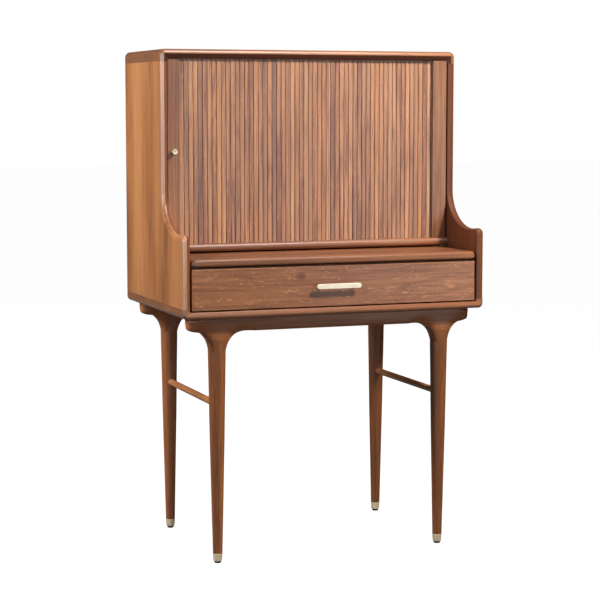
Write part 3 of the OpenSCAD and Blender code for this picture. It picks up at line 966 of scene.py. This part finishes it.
@dataclass
class Case:
    """The outer shell: side panels, top and bottom boards, sill, jamb and the inner fittings."""

    maker: Maker
    nose: float = 10.6 * MM
    lip: float = 11.0 * MM
    lean: float = 3.6 * MM
    inner_round: float = 1.8 * MM
    back_round: float = 2.0 * MM
    jamb_round: float = 1.6 * MM
    top_corner: float = 14.0 * MM
    bottom_corner: float = 12.0 * MM
    inner_corner: float = 6.4 * MM
    low_inner_corner: float = 3.0 * MM
    low_nose: float = 8.0 * MM
    low_lip: float = 8.4 * MM
    drawer_gap: float = 3 * MM
    back_zone: float = 20 * MM
    tall: float = 100 * MM
    deep: float = 10 * MM

    def side(self, node: str, finish: Finish) -> None:
        """Builds a side panel with a rounded nose along its swept front edge.

        Args:
            node: the CAD node of the panel.
            finish: what it is finished with.
        """
        bm = merged_copy(node)
        low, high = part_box(node)
        leftward = low.x < 0
        outer, inner = (low.x, high.x) if leftward else (high.x, low.x)
        seam = outer + (self.lip if leftward else -self.lip)
        bmesh.ops.bisect_plane(bm, geom=whole(bm), dist=HAIR, plane_co=(seam, 0, 0),
                               plane_no=(1, 0, 0))

        def on_front(edge: BMEdge, x: float) -> bool:
            """Tells whether an edge runs round the swept front on one face of the panel."""
            middle = (edge.verts[0].co + edge.verts[1].co) / 2
            return (in_plane(edge, X, x) and middle.y < high.y - self.back_zone
                    and low.z + NEAR < middle.z < high.z - NEAR and is_corner(edge))

        def is_front(face: BMFace) -> bool:
            """Tells whether a face lies round the swept front."""
            heights = [vert.co.z for vert in face.verts]
            return (abs(face.normal.x) < 0.1 and max(heights) > low.z + NEAR
                    and min(heights) < high.z - NEAR
                    and face.calc_center_median().y < high.y - 1 * MM)

        def on_back(edge: BMEdge) -> bool:
            """Tells whether an edge runs down the back of the panel."""
            return in_plane(edge, Y, high.y) and is_corner(edge) and run(edge, Z) > self.tall

        opening = {v for e in bm.edges if on_front(e, inner) for v in e.verts}
        lean_inwards(bm, opening, is_front, self.lean)
        round_edges(bm, [e for e in bm.edges if on_front(e, outer)], self.nose, LARGE, rim=False)
        round_edges(bm, [e for e in bm.edges if on_front(e, inner)], self.inner_round, TINY)
        round_edges(bm, [e for e in bm.edges if on_back(e)], self.back_round, SMALL, rim=False)
        self.maker.hand_over(settle(bm, f"{node}_panel"), "case", "walnut_case", finish, [node])

    def end_block_board(self, node: str, upside_down: bool, corner: float,
                        inner: float, nose: float, lip: float, finish: Finish) -> None:
        """Builds the top or bottom board: a board with end blocks and rounded corners.

        Args:
            node: the CAD node of the board.
            upside_down: True for the bottom board, whose end blocks point up.
            corner: radius of the rounded outer corners.
            inner: radius inside the corners where the thin part meets the end blocks.
            nose: radius of the rounded front edge.
            lip: how far in from the outline the front starts to lean back.
            finish: what it is finished with.
        """
        low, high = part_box(node)
        inside = (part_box("left_side")[1].x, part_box("right_side")[0].x)
        if upside_down:
            root, tip, thick = low.z, high.z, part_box("drawer_front")[0].z - self.drawer_gap
        else:
            root, tip, thick = high.z, low.z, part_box("right_jamb")[1].z
        outline = [(low.x, root), (low.x, tip), (inside[0], tip), (inside[0], thick),
                   (inside[1], thick), (inside[1], tip), (high.x, tip), (high.x, root)]
        bm = bmesh.new()
        face = bm.faces.new([bm.verts.new((x, low.y, z)) for x, z in outline])
        grown = bmesh.ops.extrude_face_region(bm, geom=[face])
        moved = [v for v in grown["geom"] if isinstance(v, BMVert)]
        bmesh.ops.translate(bm, verts=moved, vec=(0, high.y - low.y, 0))
        bmesh.ops.recalc_face_normals(bm, faces=bm.faces)

        def along(points: Sequence[tuple[float, float]]) -> list[BMEdge]:
            """Lists the front-to-back edges that pass through the given corners."""
            return [e for e in bm.edges if run(e, Y) > self.deep
                    and any(in_plane(e, X, x, WELD) and in_plane(e, Z, z, WELD)
                            for x, z in points)]

        def is_front(face: BMFace) -> bool:
            """Tells whether a face lies on the front of the board."""
            return face.normal.y < -0.9

        def on_opening(vert: BMVert) -> bool:
            """Tells whether a front corner lies along the opening that the board frames."""
            return abs(vert.co.y - low.y) < WELD and any(
                max(-math.copysign(face.normal.x, face.normal.x * vert.co.x),
                    face.normal.z * (1 if upside_down else -1)) > 0.2
                and not in_plane(face, Z, tip, WELD)
                for face in vert.link_faces if abs(face.normal.y) < 0.5)

        def rim(y: float) -> list[BMEdge]:
            """Lists the edges round the front or back face, without those under the end blocks."""
            return [e for e in bm.edges if in_plane(e, Y, y) and is_corner(e)
                    and not in_plane(e, Z, tip, WELD)]

        round_edges(bm, along([outline[0], outline[-1]]), corner, LARGE, rim=False)
        round_edges(bm, along([outline[3], outline[4]]), inner, MEDIUM, rim=False)
        bm.normal_update()
        seam_z = root + math.copysign(lip, tip - root)
        for x, turn in ((low.x + lip, 1), (high.x - lip, -1)):
            for normal in ((0, 0, 1), (1, 0, 0), (turn, 0, -1 if upside_down else 1)):
                fronts = [face for face in bm.faces if is_front(face)]
                parts = {part for face in fronts for part in (*face.verts, *face.edges, face)}
                bmesh.ops.bisect_plane(bm, geom=list(parts), dist=HAIR,
                                       plane_co=(x, 0, seam_z), plane_no=normal)
                bm.normal_update()
        lean_inwards(bm, [v for v in bm.verts if on_opening(v)], is_front, self.lean)
        round_edges(bm, rim(low.y), nose, LARGE, rim=False, clamp=False)
        round_edges(bm, rim(low.y + self.lean), self.inner_round, TINY, clamp=False)
        round_edges(bm, rim(high.y), self.back_round, SMALL, rim=False)
        self.maker.hand_over(settle(bm, f"{node}_board"), "case", "walnut_case", finish, [node])

    def jamb(self) -> None:
        """Builds the fixed jamb at the right of the curtain."""
        bm = bmesh.new()
        round_edges(bm, block(bm, *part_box("right_jamb")), self.jamb_round, SMALL)
        self.maker.hand_over(settle(bm, "jamb_right"), "case", "walnut_slats",
                             Finish.JAMB, ["right_jamb"])

    def fittings(self) -> None:
        """Eases the edges of everything inside the case."""
        across = ("deck_panel", "dust_panel", "curtain_track", "shelf_lower", "shelf_upper")
        upright = ("pocket_liner_right", "pocket_liner_back", "divider_left", "divider_right",
                   "divider_mid")
        deep = ("board_guide_left", "board_guide_right", "board_kicker_left",
                "board_kicker_right", "drawer_runner_left", "drawer_runner_right")
        for nodes, finish in ((across, Finish.INNER), (upright, Finish.INNER_UP),
                              (deep, Finish.INNER_DEEP)):
            for node in nodes:
                self.maker.eased(node, "case", "inner_wood", finish, radius=0.5 * MM)
        self.maker.eased("back_panel", "case", "plywood", Finish.PLY, radius=0.4 * MM)
        self.maker.wardrobe.dress_node("case_dowels", Finish.INNER_UP)

    def build(self) -> None:
        """Builds the whole case."""
        self.side("left_side", Finish.SIDE_LEFT)
        self.side("right_side", Finish.SIDE_RIGHT)
        self.end_block_board("top_board", False, self.top_corner, self.inner_corner,
                             self.nose, self.lip, Finish.TOP)
        self.end_block_board("bottom_board", True, self.bottom_corner, self.low_inner_corner,
                             self.low_nose, self.low_lip, Finish.BOTTOM)
        self.jamb()
        self.maker.eased("sill_rail", "case", "walnut_case", Finish.SILL, radius=0.6 * MM)
        self.fittings()


# ------------------------------------------------------------------ the base


@dataclass
class Base:
    """Sculpted aprons that run into turned legs, with stretchers, ferrules and glides.

    profile is the shaft's radius at some heights. The skin is softened from soft_from up, and
    follows the profile fully below fade[0] and not at all above fade[1].
    """

    maker: Maker
    voxel: float = 2.5 * MM
    soft_from: float = 495 * MM
    bar_passes: int = 8
    bar_share: float = 0.5
    end_passes: int = 30
    end_fall: float = 20 * MM
    end_round: float = 22 * MM
    end_flat: float = 0.4
    end_reach: float = 40 * MM
    end_short: float = 2.0 * MM
    flat_top: float = 1.0 * MM
    shoulder_rings: tuple[float, ...] = (1.0, 0.8, 0.6)
    shoulder_passes: int = 23
    shoulder_share: float = 0.7
    shoulder_reach: float = 90 * MM
    shoulder_drop: float = 12 * MM
    plug_r: float = 6.5 * MM
    plug_depth: float = 34 * MM
    profile: tuple[tuple[float, float], ...] = (
        (24.5 * MM, 12.0 * MM), (306 * MM, 18.3 * MM), (529 * MM, 22.0 * MM))
    fade: tuple[float, float] = (500 * MM, 529 * MM)
    neck_top: float = 572 * MM
    core: float = 6 * MM
    leg_zone: float = 200 * MM

    def _solid(self, apron: str, legs: Sequence[str], name: str) -> BMesh:
        """Welds an apron and its two legs into one soft skin.

        Args:
            apron: the CAD node of the apron.
            legs: the CAD nodes of its legs.
            name: a name for the working object.

        Returns:
            The skin.
        """
        bm = bmesh.new()
        for node in (apron, *legs):
            bm.from_mesh(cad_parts[node].data)
        bmesh.ops.remove_doubles(bm, verts=bm.verts, dist=WELD)
        rod_low, rod_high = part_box("stretcher_left")
        height = (rod_low.z + rod_high.z) / 2
        for leg in legs:
            low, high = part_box(leg)
            matrix = (Matrix.Translation((self.shaft_x(leg), (low.y + high.y) / 2, height))
                      @ Euler((QUARTER_TURN, 0.0, 0.0)).to_matrix().to_4x4())
            bmesh.ops.create_cone(bm, cap_ends=True, segments=24, radius1=self.plug_r,
                                  radius2=self.plug_r, depth=self.plug_depth, matrix=matrix)
        mesh = bpy.data.meshes.new(name)
        bm.to_mesh(mesh)
        bm.free()
        work = on_scene(name, mesh)
        skin = work.modifiers.new("skin", "REMESH")
        skin.mode = "VOXEL"
        skin.voxel_size = self.voxel
        bpy.context.view_layer.update()
        graph = bpy.context.evaluated_depsgraph_get()
        bm = bmesh.new()
        bm.from_mesh(work.evaluated_get(graph).data)
        bpy.data.objects.remove(work)
        bpy.data.meshes.remove(mesh)
        return bm

    def _soften(self, bm: BMesh, axes: Sequence[float], low: Vector, high: Vector) -> None:
        """Smooths the bar a little, its ends more and the shoulders a lot.

        Args:
            bm: the skin of an apron and its legs.
            axes: the X of each leg's axis.
            low: the lowest corner of the apron.
            high: the highest corner of the apron, whose top stays flat.
        """
        def depth(vert: BMVert) -> float:
            """Gives how far a corner lies from the nearer end of the apron."""
            return min(vert.co.x - low.x, high.x - vert.co.x)

        soft = [v for v in bm.verts if v.co.z > self.soft_from]
        for _ in range(self.bar_passes):
            smooth(bm, soft, self.bar_share)
        middle = (low.y + high.y) / 2
        for vert in soft:
            inward = max(0.0, depth(vert))
            short = self.end_short * max(0.0, 1.0 - inward / self.end_reach)
            vert.co.x -= math.copysign(1.0, vert.co.x) * short
            bulge = math.sqrt(1.0 - max(0.0, 1.0 - inward / self.end_round) ** 2)
            width = self.end_flat + (1.0 - self.end_flat) * bulge
            vert.co.y = middle + (vert.co.y - middle) * width
        ends = [v for v in soft if depth(v) < self.end_reach]
        flats = [(v, v.co.z) for v in ends
                 if v.co.z > high.z - self.flat_top and depth(v) > self.end_fall]
        for _ in range(self.end_passes):
            smooth(bm, ends, self.bar_share)
            for vert, height in flats:
                vert.co.z = height
        for share in self.shoulder_rings:
            reach = self.shoulder_reach * share
            near = [v for v in soft if v.co.z < high.z - self.shoulder_drop
                    and min(abs(v.co.x - x) for x in axes) < reach]
            for _ in range(self.shoulder_passes):
                smooth(bm, near, self.shoulder_share)

    @staticmethod
    def shaft_x(leg: str) -> float:
        """Gives the X of a leg's own axis, from the stretcher beside it."""
        low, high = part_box("stretcher_left" if "left" in leg else "stretcher_right")
        return (low.x + high.x) / 2

    def _radius_at(self, z: float) -> float:
        """Gives the shaft's radius at a height.

        Args:
            z: the height.

        Returns:
            The radius, which stays the same above the profile.
        """
        for (z0, r0), (z1, r1) in zip(self.profile, self.profile[1:]):
            if z <= z1:
                return r0 + (r1 - r0) * (z - z0) / (z1 - z0)
        return self.profile[-1][1]

    def _lathe(self, bm: BMesh, legs: Sequence[str]) -> None:
        """Draws the shafts onto their turned profile below the shoulders.

        Args:
            bm: the skin of an apron and its legs.
            legs: the CAD nodes of the legs.
        """
        centre_y = sum(corner.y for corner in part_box(legs[0])) / 2
        axes = [self.shaft_x(leg) for leg in legs]
        for vert in bm.verts:
            if vert.co.z > self.neck_top or vert.co.z < self.profile[0][0]:
                continue
            x = min(axes, key=lambda a: abs(a - vert.co.x))
            out = Vector((vert.co.x - x, vert.co.y - centre_y))
            if out.length < self.core:
                continue
            fade = (self.fade[1] - vert.co.z) / (self.fade[1] - self.fade[0])
            share = max(0.0, min(1.0, fade))
            turned = self._radius_at(vert.co.z)
            wanted = max(turned, out.length) * (1.0 - share) + turned * share
            out *= wanted / out.length
            vert.co.x, vert.co.y = x + out.x, centre_y + out.y

    def _finish(self, bm: BMesh, node: str, ending: str, finish: Finish) -> None:
        """Hands over one sculpted piece, named after the CAD node that it replaces."""
        piece = settle(bm, f"{node}_{ending}", CURVED_CREASE, flat=False)
        self.maker.hand_over(piece, "case", "walnut_base", finish, [node])

    def side(self, apron: str, legs: Sequence[str]) -> None:
        """Builds one apron with its two legs as smooth pieces.

        Args:
            apron: the CAD node of the apron.
            legs: the CAD nodes of its legs.
        """
        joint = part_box(apron)[0].z
        skin = self._solid(apron, legs, f"{apron}_work")
        self._soften(skin, [self.shaft_x(leg) for leg in legs], *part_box(apron))
        self._lathe(skin, legs)
        upper = skin.copy()
        self._cut(upper, joint, keep_upper=True)
        self._finish(upper, apron, "sculpted", Finish.BASE)
        self._cut(skin, joint, keep_upper=False)
        for leg in legs:
            part = skin.copy()
            x = self.shaft_x(leg)
            others = [f for f in part.faces
                      if abs(f.calc_center_median().x - x) > self.leg_zone]
            bmesh.ops.delete(part, geom=others, context="FACES")
            self._finish(part, leg, "turned", Finish.LEGS)
        skin.free()

    @staticmethod
    def _cut(bm: BMesh, z: float, keep_upper: bool) -> None:
        """Cuts a mesh at a height, keeps one side and closes it.

        Args:
            bm: the mesh.
            z: the height of the cut.
            keep_upper: which side stays.
        """
        bmesh.ops.bisect_plane(bm, geom=whole(bm), dist=HAIR, plane_co=(0, 0, z),
                               plane_no=(0, 0, 1), clear_inner=keep_upper,
                               clear_outer=not keep_upper)
        bmesh.ops.holes_fill(bm, edges=[e for e in bm.edges if e.is_boundary], sides=0)

    def build(self) -> None:
        """Builds the whole base."""
        self.side("front_apron", ("leg_front_left", "leg_front_right"))
        self.side("rear_apron", ("leg_rear_left", "leg_rear_right"))
        for node in ("stretcher_left", "stretcher_right"):
            self.maker.eased(node, "case", "walnut_base", Finish.RODS, radius=0.0)
        self.maker.eased("leg_ferrules", "case", "brass", Finish.FERRULE, radius=0.4 * MM)
        self.maker.eased("glide_feet", "case", "black_plastic", Finish.BLACK, radius=0.5 * MM)
        self.maker.wardrobe.dress_node("base_screws", Finish.STEEL)


# ------------------------------------------------------------------ drawer and writing board


@dataclass
class Drawer:
    """The drawer: front, box, bar handle and its screws."""

    maker: Maker
    front_ease: float = 1.5 * MM
    bar_ease: float = 1.2 * MM
    bar_segments: int = 4

    def build(self) -> None:
        """Builds the whole drawer."""
        bm = bmesh.new()
        round_edges(bm, block(bm, *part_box("drawer_front")), self.front_ease, SMALL)
        self.maker.hand_over(settle(bm, "drawer_front_board"), "drawer", "walnut_case",
                             Finish.DRAWER, ["drawer_front"])
        for node in ("drawer_side_left", "drawer_side_right"):
            self.maker.eased(node, "drawer", "inner_wood", Finish.INNER_DEEP)
        self.maker.eased("drawer_back", "drawer", "inner_wood", Finish.INNER)
        self.maker.eased("drawer_bottom", "drawer", "plywood", Finish.PLY, radius=0.3 * MM)
        self.maker.eased("drawer_handle", "drawer", "brass", Finish.BRASS,
                         radius=self.bar_ease, segments=self.bar_segments)
        self.maker.eased("handle_posts", "drawer", "brass", Finish.BRASS, radius=0.4 * MM)
        self.maker.wardrobe.dress_node("handle_screws", Finish.STEEL)


@dataclass
class WritingBoard:
    """The pull-out writing board, with rounded front corners and a rounded front edge."""

    maker: Maker
    corner: float = 14.0 * MM
    top_round: float = 9.0 * MM
    low_round: float = 5.0 * MM
    upright: float = 5 * MM
    front_zone: float = 1 * MM

    def build(self) -> None:
        """Builds the board."""
        low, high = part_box("writing_board")
        bm = bmesh.new()
        block(bm, low, high)
        corners = [e for e in bm.edges if run(e, Z) > self.upright
                   and e.verts[0].co.y < low.y + self.front_zone]
        round_edges(bm, corners, self.corner, LARGE, rim=False)
        for z, radius in ((high.z, self.top_round), (low.z, self.low_round)):
            rim = [e for e in bm.edges if in_plane(e, Z, z, WELD) and is_corner(e)
                   and not in_plane(e, Y, high.y, WELD)]
            round_edges(bm, rim, radius, MEDIUM)
        self.maker.hand_over(settle(bm, "writing_board_top"), "writing_board", "walnut_case",
                             Finish.BOARD, ["writing_board"])


# ------------------------------------------------------------------ the curtain


@dataclass
class Curtain:
    """The tambour: a leading stile with its knob, and strips of slats on canvas.

    knob_profile holds shares of the knob's radius and of its depth, from the back forwards.
    """

    maker: Maker
    strips: int = 12
    pitch: float = SLAT_PITCH
    gap: float = 0.9 * MM
    canvas: float = 1.0 * MM
    slat_round: float = 1.9 * MM
    stile_round: float = 1.6 * MM
    knob_steps: int = 40
    knob_profile: tuple[tuple[float, float], ...] = (
        (0.0, 0.0), (0.62, 0.0), (0.54, 0.12), (0.50, 0.3), (0.58, 0.44), (0.76, 0.53),
        (0.81, 0.62), (0.81, 0.9), (0.76, 0.98), (0.68, 1.0), (0.40, 0.98), (0.33, 0.94),
        (0.28, 0.78), (0.0, 0.75))

    def strip(self, number: int) -> None:
        """Builds one strip of slats.

        Args:
            number: the strip's number, from 1.
        """
        node = f"curtain_strip_{number:02d}"
        low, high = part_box(node)
        start = low.x - STRIP_MARGIN
        back = high.y - self.canvas
        bm = bmesh.new()
        for k in range(round((high.x - low.x) / self.pitch)):
            near = Vector((start + k * self.pitch + self.gap / 2, low.y, low.z))
            far = Vector((start + (k + 1) * self.pitch - self.gap / 2, back, high.z))
            front = [e for e in block(bm, near, far)
                     if in_plane(e, Y, low.y, HAIR) and run(e, X) < HAIR]
            round_edges(bm, front, self.slat_round, SMALL)
        block(bm, Vector((low.x, back, low.z)), high)
        self.maker.hand_over(settle(bm, f"slats_{number:02d}", SLAT_CREASE), node,
                             "walnut_slats", Finish.SLATS, [node])

    def knob(self) -> None:
        """Turns the brass knob, with a waisted neck and a dished face."""
        low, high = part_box("curtain_knob")
        radius = (high.x - low.x) / 2
        axis_x, axis_z = (low.x + high.x) / 2, (low.z + high.z) / 2
        out = high.y - low.y
        bm = bmesh.new()
        chain = [bm.verts.new((axis_x + r * radius, high.y - y * out, axis_z))
                 for r, y in self.knob_profile]
        edges = [bm.edges.new(pair) for pair in zip(chain, chain[1:])]
        bmesh.ops.spin(bm, geom=chain + edges, cent=(axis_x, 0, axis_z), axis=(0, 1, 0),
                       angle=math.tau, steps=self.knob_steps, use_merge=True)
        bmesh.ops.remove_doubles(bm, verts=bm.verts, dist=WELD)
        self.maker.hand_over(settle(bm, "knob_turned", CURVED_CREASE, flat=False),
                             "curtain_lead", "brass", Finish.KNOB, ["curtain_knob"])

    def build(self) -> None:
        """Builds the whole curtain."""
        self.maker.eased("curtain_lead", "curtain_lead", "walnut_slats", Finish.STILE,
                         radius=self.stile_round, segments=SMALL)
        self.knob()
        self.maker.wardrobe.dress_node("knob_screw", Finish.STEEL)
        for number in range(1, self.strips + 1):
            self.strip(number)


# ------------------------------------------------------------------ studio


class Reach(Enum):
    """What a light shows in: matt light, glossy reflections or both."""

    BOTH = (True, True)
    MATT = (True, False)
    SHEEN = (False, True)


@dataclass
class Studio:
    """A pale floor, soft lights and the camera."""

    floor_size: float = 30.0
    floor_glow: float = 0.975
    sky_glow: tuple[float, float] = (0.032, 1.0)
    lens: float = 109.61
    eye: tuple[float, float, float] = (-1.66047, -4.39807, 1.11592)
    heading: float = 0.35955
    dip: float = 0.1048

    def floor(self) -> None:
        """Lays the plain floor, grey to the light and nearly white to the camera."""
        bm = bmesh.new()
        bmesh.ops.create_grid(bm, x_segments=1, y_segments=1, size=self.floor_size)
        floor = settle(bm, "floor")
        surface = Surface("pale_floor")
        seen = surface.bench.add("ShaderNodeLightPath").outputs["Is Camera Ray"]
        surface.set({"Base Color": (0.10, 0.10, 0.10), "Roughness": 0.9,
                     "Specular IOR Level": 0.1, "Emission Color": WHITE,
                     "Emission Strength": surface.bench.sum("MULTIPLY", seen, self.floor_glow)})
        floor.data.materials.append(surface.material)

    def sky(self) -> None:
        """Sets a plain white surround that lights softly."""
        world = bpy.data.worlds.new("surround")
        world.use_nodes = True
        bpy.context.scene.world = world
        bench = Bench(world.node_tree)
        back = world.node_tree.nodes["Background"]
        bench.feed(back.inputs["Color"], WHITE)
        seen = bench.add("ShaderNodeLightPath").outputs["Is Camera Ray"]
        bench.feed(back.inputs["Strength"], bench.span(seen, (0.0, 1.0), self.sky_glow))

    @staticmethod
    def lamp(name: str, place: Sequence[float], aim: Sequence[float], power: float,
             size: tuple[float, float], tint: RGB, reach: Reach = Reach.BOTH) -> None:
        """Hangs one soft rectangular light, unseen by the camera.

        Args:
            name: the light's name.
            place: where it hangs.
            aim: the point it faces.
            power: its power in watts.
            size: its width and height.
            tint: its colour.
            reach: what it shows in.
        """
        light = bpy.data.lights.new(name, "AREA")
        light.shape = "RECTANGLE"
        light.size, light.size_y = size
        light.energy = power
        light.color = tint
        item = on_scene(name, light)
        item.location = place
        item.rotation_mode = "QUATERNION"
        item.rotation_quaternion = (Vector(aim) - Vector(place)).to_track_quat("-Z", "Y")
        item.visible_camera = False
        item.visible_diffuse, item.visible_glossy = reach.value

    def lights(self) -> None:
        """Hangs a key light at the upper right and soft light on every side."""
        heart = (0.0, 0.0, 0.8)
        warm, cool = (1.0, 0.97, 0.95), (0.94, 0.96, 1.0)
        self.lamp("key_right", (1.18, -1.5, 2.5), heart, 98.0, (0.34, 0.34), (1.0, 0.97, 0.94),
                  Reach.MATT)
        self.lamp("wall_left", (-2.7, 0.8, 2.2), (0.0, 0.3, 0.8), 160.0, (2.6, 1.3), warm,
                  Reach.MATT)
        self.lamp("wall_behind", (1.6, 3.0, 1.6), heart, 60.0, (2.5, 2.0), warm, Reach.MATT)
        self.lamp("sheet_left", (-3.0, -1.6, 1.35), (-0.3, 0.0, 0.9), 90.0, (2.6, 1.9), cool,
                  Reach.SHEEN)
        self.lamp("sheet_front", (-1.0, -3.3, 1.25), (-0.4, 0.0, 1.1), 40.0, (1.9, 0.9), cool,
                  Reach.SHEEN)
        self.lamp("sheet_above", (0.3, -1.2, 2.7), (-0.2, 0.0, 0.9), 62.0, (1.3, 0.9), cool,
                  Reach.SHEEN)
        self.lamp("fill_front", (-1.7, -3.3, 1.7), heart, 8.0, (1.4, 1.4), (1.0, 0.98, 0.96))
        self.lamp("card_right", (1.8, -3.5, 0.8), heart, 19.0, (1.2, 1.2), cool)

    def camera(self) -> None:
        """Stands the camera at the front left, at eye level."""
        data = bpy.data.cameras.new("view")
        data.lens = self.lens
        item = on_scene("view", data)
        item.location = self.eye
        item.rotation_euler = Euler((QUARTER_TURN - self.dip, 0.0, -self.heading))
        bpy.context.scene.camera = item

    def build(self) -> None:
        """Sets the whole stage."""
        self.floor()
        self.sky()
        self.lights()
        self.camera()
        bpy.context.scene.view_settings.view_transform = "Standard"


def main() -> None:
    """Builds the desk's looks and writes how large they came out."""
    logging.basicConfig(level=logging.INFO, format="%(name)s: %(message)s")
    maker = Maker(Wardrobe())
    for assembly in (Case(maker), Base(maker), Drawer(maker), WritingBoard(maker), Curtain(maker)):
        assembly.build()
        LOG.info("%s is done", type(assembly).__name__)
    Studio().build()


if __name__ == "__main__":
    main()
